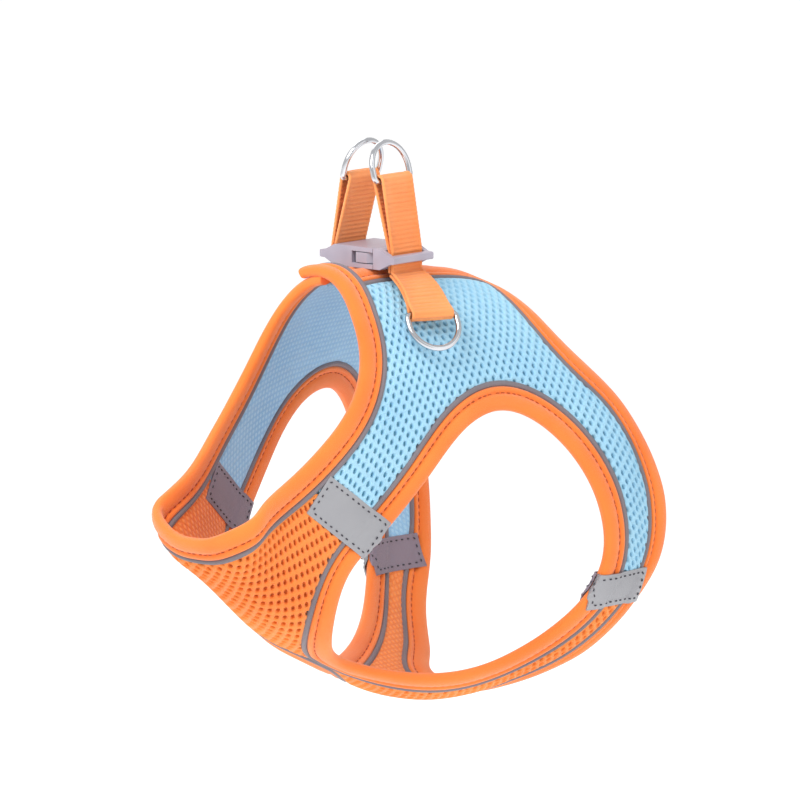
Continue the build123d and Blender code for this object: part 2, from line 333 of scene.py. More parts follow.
edgeTree = kdtree.KDTree(sum(len(e["p"]) for e in (neckEdge, backEdge, leftLegEdge, rightLegEdge)))
edgePoints = np.vstack([e["p"] for e in (neckEdge, backEdge, leftLegEdge, rightLegEdge)])
edgeInward = np.vstack([e["b"] for e in (neckEdge, backEdge, leftLegEdge, rightLegEdge)])
for number, point in enumerate(edgePoints):
    edgeTree.insert(point, number)
edgeTree.balance()


def depthInCloth(points):
    # distance in from the nearest free edge, below 0 past it
    depth = np.empty(len(points))
    for i, point in enumerate(points):
        _, k, distance = edgeTree.find(point)
        side = float(np.dot(point - edgePoints[k], edgeInward[k]))
        depth[i] = math.copysign(distance, side)
    return depth


# materials: shared effects are node groups, finishes are materials of their own

def newGroup(name, inputs, outputs):
    group = bpy.data.node_groups.new(name, "ShaderNodeTree")
    for label, kind, value in inputs:
        socket = group.interface.new_socket(name=label, in_out="INPUT", socket_type=kind)
        if value is not None:
            socket.default_value = value
    for label, kind in outputs:
        group.interface.new_socket(name=label, in_out="OUTPUT", socket_type=kind)
    return group, group.nodes.new("NodeGroupInput"), group.nodes.new("NodeGroupOutput")


def addNode(tree, kind, settings=None, **values):
    node = tree.nodes.new(kind)
    for key, value in (settings or {}).items():
        setattr(node, key, value)
    for key, value in values.items():
        node.inputs[key.replace("_", " ")].default_value = value
    return node


def sumUp(tree, operation, a, b):
    node = addNode(tree, "ShaderNodeMath", dict(operation=operation))
    for socket, value in zip(node.inputs, (a, b)):
        if isinstance(value, (int, float)):
            socket.default_value = value
        else:
            tree.links.new(value, socket)
    return node.outputs[0]


def weaveGroup():
    # over-and-under threads on the piece's own cloth map, with fibre fuzz over them; the shade tone is this
    # height again, painted shade that darkens the hollows between threads
    group, start, end = newGroup(
        "threadWeave",
        [("Threads", "NodeSocketFloat", 1800.0), ("Fuzz", "NodeSocketFloat", 0.35)],
        [("Height", "NodeSocketFloat"), ("ShadeTone", "NodeSocketFloat")],
    )
    links = group.links
    uv = addNode(group, "ShaderNodeUVMap", dict(uv_map="cloth"))
    scaled = addNode(group, "ShaderNodeVectorMath", dict(operation="SCALE"))
    links.new(uv.outputs[0], scaled.inputs[0])
    links.new(start.outputs["Threads"], scaled.inputs["Scale"])
    waves = []
    for direction in ("X", "Y"):
        wave = addNode(group, "ShaderNodeTexWave", dict(bands_direction=direction), Scale=1.0, Distortion=0.6)
        links.new(scaled.outputs[0], wave.inputs["Vector"])
        waves.append(wave.outputs["Fac"])
    crossed = sumUp(group, "MULTIPLY", waves[0], waves[1])
    noise = addNode(group, "ShaderNodeTexNoise", Scale=3.0, Detail=4.0)
    links.new(scaled.outputs[0], noise.inputs["Vector"])
    fuzz = sumUp(group, "MULTIPLY", noise.outputs["Fac"], start.outputs["Fuzz"])
    height = sumUp(group, "ADD", crossed, fuzz)
    links.new(height, end.inputs["Height"])
    # the tone output is the height again: painted shade, darker where the threads are low
    links.new(sumUp(group, "MULTIPLY", height, 0.7), end.inputs["ShadeTone"])
    return group


def driftGroup():
    # slow colour drift and handling marks over the whole object
    group, start, end = newGroup(
        "colourDrift",
        [("Size", "NodeSocketFloat", 25.0)],
        [("Drift", "NodeSocketFloat"), ("Marks", "NodeSocketFloat")],
    )
    where = group.nodes.new("ShaderNodeTexCoord")
    for label, detail, factor in (("Drift", 2.0, 1.0), ("Marks", 8.0, 7.0)):
        noise = addNode(group, "ShaderNodeTexNoise", Detail=detail, Roughness=0.55)
        group.links.new(where.outputs["Object"], noise.inputs["Vector"])
        group.links.new(sumUp(group, "MULTIPLY", start.outputs["Size"], factor), noise.inputs["Scale"])
        group.links.new(noise.outputs["Fac"], end.inputs[label])
    return group


threadWeave, colourDrift = weaveGroup(), driftGroup()


def rampBetween(tree, factor, stops):
    ramp = tree.nodes.new("ShaderNodeValToRGB")
    while len(ramp.color_ramp.elements) < len(stops):
        ramp.color_ramp.elements.new(0.5)
    for element, (place, colour) in zip(ramp.color_ramp.elements, stops):
        element.position = place
        element.color = (*colour, 1)
    tree.links.new(factor, ramp.inputs["Fac"])
    return ramp.outputs["Color"]


def clothMaterial(name, light, dark, threads, bump, roughness=(0.75, 0.9), sheen=0.25, fuzz=0.35, lumps=None):
    # cloth colour: painted shade in the thread hollows, taken from the weave's height, and a slow random drift
    # of tone over the piece
    # lumps are the mesh felt through the lining, with painted shade between them
    material = bpy.data.materials.new(name)
    material.use_nodes = True
    tree = material.node_tree
    shader = tree.nodes["Principled BSDF"]
    weave = addNode(tree, "ShaderNodeGroup", dict(node_tree=threadWeave), Threads=threads, Fuzz=fuzz)
    drift = addNode(tree, "ShaderNodeGroup", dict(node_tree=colourDrift), Size=25.0)
    # painted shade of the thread hollows, mixed with the random drift of tone
    shadeAndDrift = sumUp(tree, "ADD", sumUp(tree, "MULTIPLY", weave.outputs["ShadeTone"], 0.55),
                  sumUp(tree, "MULTIPLY", drift.outputs["Drift"], 0.5))
    height = weave.outputs["Height"]
    if lumps:
        knots = addNode(tree, "ShaderNodeGroup", dict(node_tree=threadWeave), Threads=lumps, Fuzz=0.3)
        shadeAndDrift = sumUp(tree, "ADD", sumUp(tree, "MULTIPLY", shadeAndDrift, 0.7),
                      sumUp(tree, "MULTIPLY", knots.outputs["ShadeTone"], 0.55))
        height = sumUp(tree, "ADD", sumUp(tree, "MULTIPLY", height, 0.4),
                       sumUp(tree, "MULTIPLY", knots.outputs["Height"], 2.2))
    tree.links.new(rampBetween(tree, shadeAndDrift, [(0.22, dark), (0.62, light)]), shader.inputs["Base Color"])
    low, high = roughness
    rough = sumUp(tree, "ADD", low, sumUp(tree, "MULTIPLY", drift.outputs["Marks"], high - low))
    tree.links.new(rough, shader.inputs["Roughness"])
    bumps = addNode(tree, "ShaderNodeBump", Strength=0.6, Distance=bump * mm)
    tree.links.new(height, bumps.inputs["Height"])
    tree.links.new(bumps.outputs["Normal"], shader.inputs["Normal"])
    shader.inputs["Sheen Weight"].default_value = sheen
    shader.inputs["Sheen Roughness"].default_value = 0.45
    shader.inputs["Specular IOR Level"].default_value = 0.25
    return material


def hardMaterial(name, light, dark, metallic, roughness, grain, bump, coat=0.0):
    # moulded or plated surfaces: fine grain, rubbed marks and a slow drift of tone
    material = bpy.data.materials.new(name)
    material.use_nodes = True
    tree = material.node_tree
    shader = tree.nodes["Principled BSDF"]
    drift = addNode(tree, "ShaderNodeGroup", dict(node_tree=colourDrift), Size=60.0)
    tone = rampBetween(tree, drift.outputs["Drift"], [(0.3, dark), (0.7, light)])
    tree.links.new(tone, shader.inputs["Base Color"])
    low, high = roughness
    rough = sumUp(tree, "ADD", low, sumUp(tree, "MULTIPLY", drift.outputs["Marks"], high - low))
    tree.links.new(rough, shader.inputs["Roughness"])
    where = tree.nodes.new("ShaderNodeTexCoord")
    noise = addNode(tree, "ShaderNodeTexNoise", Scale=grain, Detail=5.0)
    tree.links.new(where.outputs["Object"], noise.inputs["Vector"])
    bumps = addNode(tree, "ShaderNodeBump", Strength=0.4, Distance=bump * mm)
    tree.links.new(noise.outputs["Fac"], bumps.inputs["Height"])
    tree.links.new(bumps.outputs["Normal"], shader.inputs["Normal"])
    shader.inputs["Metallic"].default_value = metallic
    shader.inputs["Coat Weight"].default_value = coat
    return material


finish = dict(
    orangeMesh=clothMaterial("orangeAirMesh", (0.98, 0.33, 0.075), (0.86, 0.2, 0.03), 1500, 0.10),
    orangeInside=clothMaterial(
        "orangeMeshInside", (1.0, 0.32, 0.08), (0.78, 0.13, 0.02), 1100, 0.25, fuzz=0.6, lumps=120,
    ),
    blueMesh=clothMaterial("blueAirMesh", (0.43, 0.71, 0.86), (0.3, 0.57, 0.77), 1500, 0.10),
    blueInside=clothMaterial(
        "blueMeshInside", (0.4, 0.68, 0.9), (0.19, 0.45, 0.74), 1100, 0.25, fuzz=0.6, lumps=120,
    ),
    # darker copies of the lining's blue and orange for its outward face: painted shade seen through the mesh
    # holes
    tealBackingPaintedShade=clothMaterial("blueMeshBackingShaded", (0.28, 0.58, 0.7), (0.15, 0.42, 0.56), 1300, 0.1),
    rustBackingPaintedShade=clothMaterial("orangeMeshBackingShaded", (0.82, 0.24, 0.04), (0.62, 0.13, 0.02), 1300, 0.1),
    binding=clothMaterial("orangeBinding", (0.97, 0.27, 0.05), (0.9, 0.17, 0.025), 2300, 0.06, sheen=0.4),
    thread=clothMaterial("orangeThread", (0.6, 0.1, 0.015), (0.4, 0.05, 0.01), 4200, 0.05),
    darkThread=clothMaterial("greyThread", (0.07, 0.065, 0.08), (0.03, 0.03, 0.04), 4200, 0.05),
    piping=clothMaterial(
        "greyPiping", (0.25, 0.215, 0.235), (0.16, 0.135, 0.15), 2600, 0.06, (0.45, 0.6), 0.1,
    ),
    webbing=clothMaterial("orangeWebbing", (1.0, 0.46, 0.18), (0.9, 0.2, 0.03), 1700, 0.12, (0.55, 0.7), 0.2),
    hookTape=clothMaterial("hookTape", (0.3, 0.48, 0.6), (0.15, 0.28, 0.4), 700, 0.5, fuzz=1.2),
    loopTape=clothMaterial("loopTape", (0.4, 0.58, 0.7), (0.22, 0.4, 0.52), 420, 0.5, sheen=0.6, fuzz=1.6),
    reflective=clothMaterial(
        "reflectiveTape", (0.4, 0.4, 0.42), (0.28, 0.28, 0.3), 2400, 0.04, (0.32, 0.45), 0.0,
    ),
    tabLining=clothMaterial("tabLining", (0.29, 0.245, 0.295), (0.19, 0.16, 0.2), 2000, 0.06),
    steel=hardMaterial("ringSteel", (0.66, 0.67, 0.7), (0.54, 0.55, 0.58), 1.0, (0.08, 0.2), 900.0, 0.01),
    plastic=hardMaterial(
        "bucklePlastic", (0.43, 0.395, 0.47), (0.35, 0.32, 0.39), 0.0, (0.38, 0.55), 2400.0, 0.02, 0.1,
    ),
)
finish["reflective"].node_tree.nodes["Principled BSDF"].inputs["Metallic"].default_value = 0.5


def dress(piece, material, rideOn=body):
    piece.data.materials.clear()
    piece.data.materials.append(finish[material])
    if rideOn:
        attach(piece, rideOn)


# padded bindings, their stitching and the piping beside them

binding = dict(
    # outer half of the section as (distance in from the free edge, height)
    outer=[(0.0, 0.7), (0.3, 1.55), (1.1, 2.2), (2.4, 2.6), (4.0, 2.65), (5.4, 2.4), (6.5, 1.9),
           (7.1, 1.3), (7.5, 1.05), (7.9, 1.3), (8.5, 1.85), (9.3, 2.05), (10.1, 1.75), (10.5, 1.1)],
    insideShare=0.86,      # the inner face is a little flatter
    stitchAt=7.5,
    stitchPitch=3.3,
    stitchLong=2.5,
    threadRadius=0.3,
    pucker=0.16,
    unevenness=0.1,
)
piping = dict(centre=11.85, halfWidth=1.55, halfHeight=2.0, points=14)


def bindingSection():
    outer = np.array(binding["outer"])
    inner = outer[::-1] * np.array([1, -binding["insideShare"]])
    return np.vstack([outer, inner])


def pipingSection():
    turn = np.linspace(0, 2 * math.pi, piping["points"], endpoint=False)
    across = piping["centre"] - piping["halfWidth"] * np.cos(turn)
    return np.stack([across, piping["halfHeight"] * np.sin(turn)], -1)


def layBand(name, edge, section, puckers=False, lift=None):
    across, rise = section[:, 0], section[:, 1]
    base = walkIn(edge, across)
    normal = outward(base)
    s = edge["length"][:, None]
    height = rise[None, :] + 0 * s
    if puckers:
        near = np.exp(-(((across - binding["stitchAt"]) / 1.3) ** 2))[None]
        pull = binding["pucker"] * np.cos(2 * math.pi * s / binding["stitchPitch"])
        height = height - np.sign(rise)[None] * near * pull
        roll = np.sin(s / 9.0) + 0.6 * np.sin(s / 4.1 + 1.3) + 0.4 * np.sin(s / 23.0 + 0.4)
        height = height * (1 + binding["unevenness"] * 0.4 * roll * np.exp(-(((across - 3) / 3) ** 2))[None])
    if lift is not None:
        height = height + lift[:, None]
    points = base + normal * height[..., None]
    around = runLength(np.vstack([section, section[:1]]))[:-1]
    uv = np.stack([s + 0 * around[None], around[None] + 0 * s], -1)
    piece = makeMesh(name, points, skinGrid(len(points), len(section), edge["closed"]), uv)
    smooth(piece, 60)
    return piece


def layStitches(name, line, tangent, normal, pitch, long, radius, closed=False):
    # one short thread for each stitch, sunk at both ends
    t = runLength(np.vstack([line, line[:1]]) if closed else line)
    count = int(t[-1] / pitch)
    at = (np.arange(count) + 0.5) * t[-1] / count
    pick = np.clip(np.searchsorted(t, at), 0, len(line) - 1)
    p, d, n = line[pick], tangent[pick], normal[pick]
    side = np.cross(d, n)
    ringsAt = np.array([-0.5, -0.36, 0, 0.36, 0.5]) * long
    ringRadius = np.array([0.4, 0.95, 1.1, 0.95, 0.4]) * radius
    sink = np.array([-1.1, -0.15, 0.2, -0.15, -1.1]) * radius
    turn = np.linspace(0, 2 * math.pi, 6, endpoint=False)
    points = (p[:, None, None] + d[:, None, None] * ringsAt[None, :, None, None]
              + n[:, None, None] * (sink[:, None] + ringRadius[:, None] * np.sin(turn))[None, :, :, None]
              + side[:, None, None] * (ringRadius[:, None] * np.cos(turn))[None, :, :, None])
    one = skinGrid(5, 6, False)
    faces = [tuple(v + 30 * k for v in face) for k in range(count) for face in one]
    along = ringsAt[None, :, None] + at[:, None, None]
    uv = np.stack(np.broadcast_arrays(along, radius * turn[None, None]), -1)
    piece = makeMesh(name, points, faces, uv)
    smooth(piece, 60)
    return piece


def seamLine(edge, distance, rise):
    base = walkIn(edge, [distance])[:, 0]
    normal = outward(base)
    return base + normal * rise, edge["t"], normal


def bindEdge(part, edge, lift=None):
    # binding, both rows of stitches and the piping of one free edge
    roll = layBand(part + "_binding_roll", edge, bindingSection(), True, lift)
    cord = layBand(part + "_piping_cord", edge, pipingSection(), False, lift)
    pieces = [roll, cord]
    for face, side in (("outer", 1), ("inner", -binding["insideShare"])):
        line, tangent, normal = seamLine(edge, binding["stitchAt"], 1.12 * side)
        if lift is not None:
            line = line + normal * lift[:, None]
        pieces.append(layStitches(
            f"{part}_{face}_stitches", line, tangent, normal * math.copysign(1, side),
            binding["stitchPitch"], binding["stitchLong"], binding["threadRadius"], edge["closed"],
        ))
    return pieces


def finishEdge(pieces, names):
    for piece, material, slot in zip(pieces, ("binding", "piping", "thread", "thread"),
                                     ("orange_binding", "grey_piping", "orange_binding", "orange_binding")):
        dress(piece, material)
    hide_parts(*[n + "_binding" for n in names])
    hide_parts(*[n + "_piping" for n in names])


print("sewing the bindings")
lapLift = 5.2 * np.clip(1 - (neckEdge["length"] - 1) / 34, 0, 1) ** 1.5
finishEdge(bindEdge("neck", neckEdge, lapLift), ["neck"])
finishEdge(bindEdge("back", backEdge), ["left_back", "right_back"])
leftLeg = bindEdge("left_leg", leftLegEdge)
finishEdge(leftLeg, ["left_leg"])
finishEdge([otherSide(p, p.name.replace("left", "right")) for p in leftLeg], ["right_leg"])


# air-mesh panels: staggered oval holes in a knitted layer, over a plain lining

airMesh = dict(
    pitch=4.4,             # holes along a row
    rowGap=3.05,           # between rows, which are staggered
    holeLong=0.92, holeHigh=1.22,
    top=1.75, crown=1.95, rim=1.45, floor=0.25,
    tuck=9.4,              # how near a free edge the panels reach, under the binding
    pressedFrom=12.4, pressedTo=14.6,
    liningStep=2.2, liningTop=0.15, liningFloor=-1.6,
)
seam = [(-140, -43), (-28, -129), (40, -150), (160, -150)]    # below it the panel is the chest piece

xs = np.arange(stations[0, 0], stations[-1, 0], 1.0)
turns = np.linspace(0, math.pi, 241)
halfSections = onSection(xs[:, None], turns[None])
arcSteps = np.linalg.norm(np.diff(halfSections, axis=1), axis=2)
arcs = np.concatenate([np.zeros((len(xs), 1)), np.cumsum(arcSteps, axis=1)], 1)
longest = int(arcs.max()) + 2
turnTable = np.stack([np.interp(np.arange(longest), arc, turns) for arc in arcs])


def clothPoint(u, v, fromBelly):
    # u along the dog, v round the body, from the belly's middle line or from the spine
    u = np.clip(u, xs[0], xs[-1] - 0.01)
    distance = np.interp(u, xs, arcs[:, -1]) - np.abs(v) if fromBelly else np.abs(v)
    distance = np.clip(distance, 0, longest - 1.01)
    i, j = (u - xs[0]).astype(int), distance.astype(int)
    a, b = u - xs[0] - i, distance - j
    turn = ((1 - a) * (1 - b) * turnTable[i, j] + a * (1 - b) * turnTable[i + 1, j]
            + (1 - a) * b * turnTable[i, j + 1] + a * b * turnTable[i + 1, j + 1])
    return onSection(u, turn * (np.where(v < 0, 1, -1) if fromBelly else 1))


def onChest(points):
    return points[:, 2] < np.interp(points[:, 0], [p[0] for p in seam], [p[1] for p in seam])


def latticeCentres(pitch, rowGap, fromBelly, stagger=0.5):
    rows = np.arange(*((-180 / rowGap, 180 / rowGap) if fromBelly else (0, 260 / rowGap))).astype(int)
    found = []
    for row in np.unique(rows):
        u = np.arange(-136, 130, pitch) + (stagger * pitch if row % 2 else 0)
        found.append(np.stack([u, 0 * u + row * rowGap], -1))
    return np.vstack(found)


def cutOf(centres, cellArea, margin):
    # width and length of the cloth before sewing, and its area
    long, wide = np.ptp(centres, axis=0) + margin
    return (wide * mm, long * mm), len(centres) * cellArea * mm**2


def keptCells(centres, fromBelly, chest):
    points = clothPoint(centres[:, 0], centres[:, 1], fromBelly)
    if fromBelly:
        reach = np.interp(centres[:, 0], xs, arcs[:, -1])
        inRange = np.abs(centres[:, 1]) < reach
    else:
        inRange = centres[:, 1] < np.interp(centres[:, 0], xs, arcs[:, -1])
    good = inRange & (onChest(points) == chest)
    good[good] = depthInCloth(points[good]) > airMesh["tuck"]
    return centres[good]


def freeOfPiping(points):
    # 0 where the piping presses the cloth flat, up to 1 clear of it
    start, end = airMesh["pressedFrom"], airMesh["pressedTo"]
    return np.clip((depthInCloth(points) - start) / (end - start), 0, 1)


def layCells(name, centres, rings, fromBelly):
    # each cell is a chain of rings, the first and last shared with its neighbours
    outline = rings[0][0]
    count, around = len(centres), len(outline)
    corners = (centres[:, None] + outline[None]).reshape(-1, 2)
    shared, index = np.unique(np.round(corners, 2), axis=0, return_inverse=True)
    index = index.reshape(count, around)
    flats, heights, chains = [shared], [np.full(len(shared), rings[0][1])], [index]
    total = len(shared)
    for ring, height in rings[1:-1]:
        flats.append((centres[:, None] + ring[None]).reshape(-1, 2))
        heights.append(np.full(count * around, height))
        chains.append(total + np.arange(count * around).reshape(count, around))
        total += count * around
    flats.append(shared)
    heights.append(np.full(len(shared), rings[-1][1]))
    chains.append(total + index)
    flat, height = np.vstack(flats), np.concatenate(heights)
    base = clothPoint(flat[:, 0], flat[:, 1], fromBelly)
    pressed = freeOfPiping(base)
    middle = (rings[0][1] + rings[-1][1]) / 2
    height = middle * 0.55 + (height - middle * 0.55) * (0.3 + 0.7 * pressed)
    points = base + outward(base) * height[:, None]
    faces = []
    for a, b in zip(chains, chains[1:]):
        faces.append(np.stack([a, np.roll(a, -1, 1), np.roll(b, -1, 1), b], -1).reshape(-1, 4))
    sides = np.stack([index, np.roll(index, -1, 1)], -1).reshape(-1, 2)
    _, first, uses = np.unique(np.sort(sides, 1), axis=0, return_index=True, return_counts=True)
    rim = sides[first[uses == 1]]
    faces.append(np.stack([rim[:, 1], rim[:, 0], rim[:, 0] + total, rim[:, 1] + total], -1))
    return makeMesh(name, points, np.vstack(faces), flat)


def cellOutline():
    # the six-sided cell of a staggered lattice, with a point halfway along each side
    half, gap = airMesh["pitch"] / 2, airMesh["rowGap"]
    low = (gap**2 - half**2) / (2 * gap)
    high = (gap**2 + half**2) / (2 * gap)
    six = np.array([(half, low), (0, high), (-half, low), (-half, -low), (0, -high), (half, -low)])
    twelve = np.stack([six, (six + np.roll(six, -1, 0)) / 2], 1).reshape(-1, 2)
    return twelve


def knitted(name, fromBelly, chest):
    centres = keptCells(latticeCentres(airMesh["pitch"], airMesh["rowGap"], fromBelly), fromBelly, chest)
    outline = cellOutline()
    turn = np.arctan2(outline[:, 1], outline[:, 0])
    hole = np.stack([airMesh["holeLong"] * np.cos(turn), airMesh["holeHigh"] * np.sin(turn)], -1)
    rings = [(outline, airMesh["top"]), (0.45 * outline + 0.62 * hole, airMesh["crown"]),
             (hole, airMesh["rim"]), (hole * 0.93, airMesh["floor"]), (outline, airMesh["floor"])]
    piece = layCells(name, centres, rings, fromBelly)
    smooth(piece, 50)
    return piece, cutOf(centres, airMesh["pitch"] * airMesh["rowGap"], airMesh["pitch"])


def plainSheet(name, fromBelly, chest, top, low):
    # a closed thin sheet: square cells with an upper and a lower face
    step = airMesh["liningStep"]
    centres = keptCells(latticeCentres(step, step, fromBelly, 0), fromBelly, chest)
    square = np.array([(1, 1), (-1, 1), (-1, -1), (1, -1)]) * step / 2
    corners = (centres[:, None] + square[None]).reshape(-1, 2)
    shared, index = np.unique(np.round(corners, 2), axis=0, return_inverse=True)
    index = index.reshape(-1, 4)
    base = clothPoint(shared[:, 0], shared[:, 1], fromBelly)
    normal = outward(base)
    pressed = freeOfPiping(base)
    lower = low * (0.45 + 0.55 * pressed)
    count = len(shared)
    points = np.vstack([base + normal * top, base + normal * lower[:, None]])
    sides = np.stack([index, np.roll(index, -1, 1)], -1).reshape(-1, 2)
    _, first, uses = np.unique(np.sort(sides, 1), axis=0, return_index=True, return_counts=True)
    rim = sides[first[uses == 1]]
    wall = np.stack([rim[:, 1], rim[:, 0], rim[:, 0] + count, rim[:, 1] + count], -1)
    faces = np.vstack([index, index[:, ::-1] + count, wall])
    piece = makeMesh(name, points, faces, np.vstack([shared, shared]))
    smooth(piece, 60)
    return piece, cutOf(centres, step**2, step)


def layPanel(part, fromBelly, chest):
    top, low = airMesh["liningTop"], airMesh["liningFloor"]
    return [knitted(part + "_air_mesh", fromBelly, chest),
            plainSheet(part + "_inside_cloth", fromBelly, chest, top, low)]


def finishPanel(pieces, names, materials, slots, shadedBacking):
    for (piece, (flat, area)), node, material, slot in zip(pieces, names, materials, slots):
        dress(piece, material)
        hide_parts(node)
    # the lining's outward face gets a darker colour than its inward one: painted shade seen at the bottom of the
    # mesh holes
    inner = pieces[1][0]
    inner.data.materials.append(finish[shadedBacking])
    out = np.array([f.normal for f in inner.data.polygons])
    middle = np.array([f.center for f in inner.data.polygons]) / mm + np.array([0, 0, vest["drop"]])
    facing = (out * outward(middle)).sum(1) > 0.5
    inner.data.polygons.foreach_set("material_index", facing.astype(np.int32))


print("knitting the panels")
chest = layPanel("chest", True, True)
finishPanel(chest, ("chest_mesh", "chest_lining"), ("orangeMesh", "orangeInside"),
            ("orange_mesh", "orange_mesh"), "rustBackingPaintedShade")
left = layPanel("left_side", False, False)
right = [(otherSide(piece, piece.name.replace("left", "right")), cut) for piece, cut in left]
for side, panel in (("left", left), ("right", right)):
    finishPanel(panel, (side + "_side_mesh", side + "_side_lining"), ("blueMesh", "blueInside"),
                ("blue_mesh", "blue_lining"), "tealBackingPaintedShade")


# reflective tabs, folded over the leg binding

tab = dict(
    front=dict(centre=(-60, -105), angle=-37.5, length=38, width=19),
    rear=dict(centre=(84, -150), angle=0, length=34, width=15),
    thick=0.7, overBinding=3.2, overMesh=2.1, insideBinding=2.85, insideMesh=2.0,
    stitchIn=2.0, stitchPitch=3.4, stitchLong=1.5, threadRadius=0.34, step=1.0, rounding=0.2,
)


def tabSurface(size, a, b, face=1):
    # a along the tab and b across it, laid on the vest in side view
    # face is 1 on the vest's outer face and -1 on its inner one
    overBinding = tab["overBinding"] if face > 0 else tab["insideBinding"]
    overMesh = tab["overMesh"] if face > 0 else tab["insideMesh"]
    turn = math.radians(size["angle"])
    x = size["centre"][0] + a * math.cos(turn) - b * math.sin(turn)
    z = size["centre"][1] + a * math.sin(turn) + b * math.cos(turn)
    middle, halfHeight, halfWidth = sectionAt(x)
    power = np.where(z > middle, vest["backRoundness"], vest["bellyRoundness"])
    room = np.clip(1 - np.abs((z - middle) / halfHeight) ** power, 1e-4, None)
    p = np.stack([x, -halfWidth * room ** (1 / power), z], -1)
    depth = depthInCloth(p.reshape(-1, 3)).reshape(a.shape)
    over = np.clip((12.5 - depth) / 3.5, 0, 1)
    over = over * over * (3 - 2 * over)
    rise = overMesh + (overBinding - overMesh) * over
    normal = outward(p)
    # past the free edge the tab turns in round the binding, as far as the edge's middle
    past = np.clip(-depth, 0, 12)
    turned = np.maximum(overBinding - 0.5 - 1.1 * past, tab["thick"] + 0.3 - 0.02 * past)
    for index in np.argwhere(depth < 0.6):
        i = tuple(index)
        _, k, _ = edgeTree.find(p[i])
        edgePoint, inward = edgePoints[k], edgeInward[k]
        p[i] = edgePoint - inward * (0.75 - 0.25 * np.clip(depth[i], 0, 1))
        normal[i] = outward(edgePoint[None])[0]
        rise[i] = turned[i]
    return p, normal * face, rise


def closeFlat(name, upper, lower, flat, rounding):
    # a thin piece from the grids of its two faces, with a rim between them and rounded edges
    rows, cols = upper.shape[:2]
    count = rows * cols
    grid = np.arange(count).reshape(rows, cols)
    quads = np.stack([grid[:-1, :-1], grid[1:, :-1], grid[1:, 1:], grid[:-1, 1:]], -1).reshape(-1, 4)
    border = np.concatenate([grid[:-1, 0], grid[-1, :-1], grid[:0:-1, -1], grid[0, :0:-1]])
    after = np.roll(border, -1)
    rim = np.stack([border, after, after + count, border + count], -1)
    points = np.vstack([upper.reshape(-1, 3), lower.reshape(-1, 3)])
    piece = makeMesh(name, points, np.vstack([quads, quads[:, ::-1] + count, rim]), np.vstack([flat, flat]))
    choose(piece)
    bevel = piece.modifiers.new("roundedEdge", "BEVEL")
    bevel.width, bevel.segments, bevel.limit_method = rounding * mm, 2, "ANGLE"
    bevel.angle_limit = math.radians(50)
    bpy.ops.object.modifier_apply(modifier=bevel.name)
    smooth(piece, 50)
    return piece


def layTab(name, size, face=1):
    along, across = (np.linspace(-0.5, 0.5, int(size[k] / tab["step"]) + 1) * size[k]
                     for k in ("length", "width"))
    a, b = np.meshgrid(along, across, indexing="ij")
    p, normal, rise = tabSurface(size, a, b, face)
    sag = 0.12 * np.sin(a / 3.1) * np.cos(b / 4.3)
    upper = p + normal * (rise + sag)[..., None]
    lower = p + normal * (rise + sag - tab["thick"])[..., None]
    return closeFlat(name, upper, lower, np.stack([a, b], -1).reshape(-1, 2), tab["rounding"])


def stitchTab(name, size, face=1):
    # one row of stitches inside all four edges
    halfLength, halfWidth = size["length"] / 2 - tab["stitchIn"], size["width"] / 2 - tab["stitchIn"]
    corners = np.array([(-halfLength, -halfWidth), (halfLength, -halfWidth), (halfLength, halfWidth),
                        (-halfLength, halfWidth), (-halfLength, -halfWidth)])
    t = runLength(corners)
    at = np.linspace(0, t[-1], int(t[-1] / 0.5))
    a, b = np.interp(at, t, corners[:, 0]), np.interp(at, t, corners[:, 1])
    p, normal, rise = tabSurface(size, a, b, face)
    line = p + normal * (rise + 0.12)[:, None]
    tangent = unit(np.roll(line, -2, 0) - np.roll(line, 2, 0))
    return layStitches(name, line, tangent, normal, tab["stitchPitch"], tab["stitchLong"], tab["threadRadius"])


print("sewing the tabs")
for place in ("front", "rear"):
    for face, kind, node, material in ((1, "reflector", "tab", "reflective"),
                                       (-1, "tab_lining", "inner_tab", "tabLining")):
        patch = layTab(f"left_{place}_{kind}", tab[place], face)
        threads = stitchTab(f"left_{place}_{kind}_stitches", tab[place], face)
        for side in ("left", "right"):
            if side == "right":
                patch, threads = (otherSide(p, p.name.replace("left", "right")) for p in (patch, threads))
            dress(patch, material)
            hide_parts(f"{side}_{place}_{node}")
            dress(threads, "darkThread")


# closure under the spine: hook tape, loop tape and the flap that carries it

closure = dict(start=-22, end=50, reach=22, tapeThick=0.9, flapThick=1.4, flapOver=12, rounding=0.35)


def layStrip(name, lowY, highY, heightAt, thick, step=1.5):
    along = np.arange(closure["start"], closure["end"] + 0.1, step)
    x, y = np.meshgrid(along, np.arange(lowY, highY + 0.1, step), indexing="ij")
    middle, halfHeight, halfWidth = sectionAt(x)
    z = middle + halfHeight * (1 - np.abs(y / halfWidth) ** vest["backRoundness"]) ** (1 / vest["backRoundness"])
    p = np.stack([x, y, z], -1)
    normal = outward(p)
    height = heightAt(y)[..., None]
    lower = p + normal * (height - thick)
    return closeFlat(name, p + normal * height, lower, np.stack([x, y], -1).reshape(-1, 2), closure["rounding"])


print("laying the closure")
hook = layStrip("hook_strip", -closure["reach"], -1.5, lambda y: -2.05 + 0 * y, closure["tapeThick"])
loop = layStrip("loop_strip", -closure["reach"], -1.5, lambda y: -3.05 + 0 * y, closure["tapeThick"])
flap = layStrip("closure_flap_cloth", -closure["reach"], closure["flapOver"],
                lambda y: -4.1 + 2.0 * np.clip((y - 2) / 8, 0, 1), closure["flapThick"])
for piece, material, slot, node in ((hook, "hookTape", "closure_tape", "hook_tape"),
                                    (loop, "loopTape", "closure_tape", "loop_tape"),
                                    (flap, "blueInside", "blue_lining", "closure_flap")):
    dress(piece, material)
    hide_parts(node)
    wide = closure["reach"] - 1.5 if piece is not flap else closure["reach"] + closure["flapOver"]


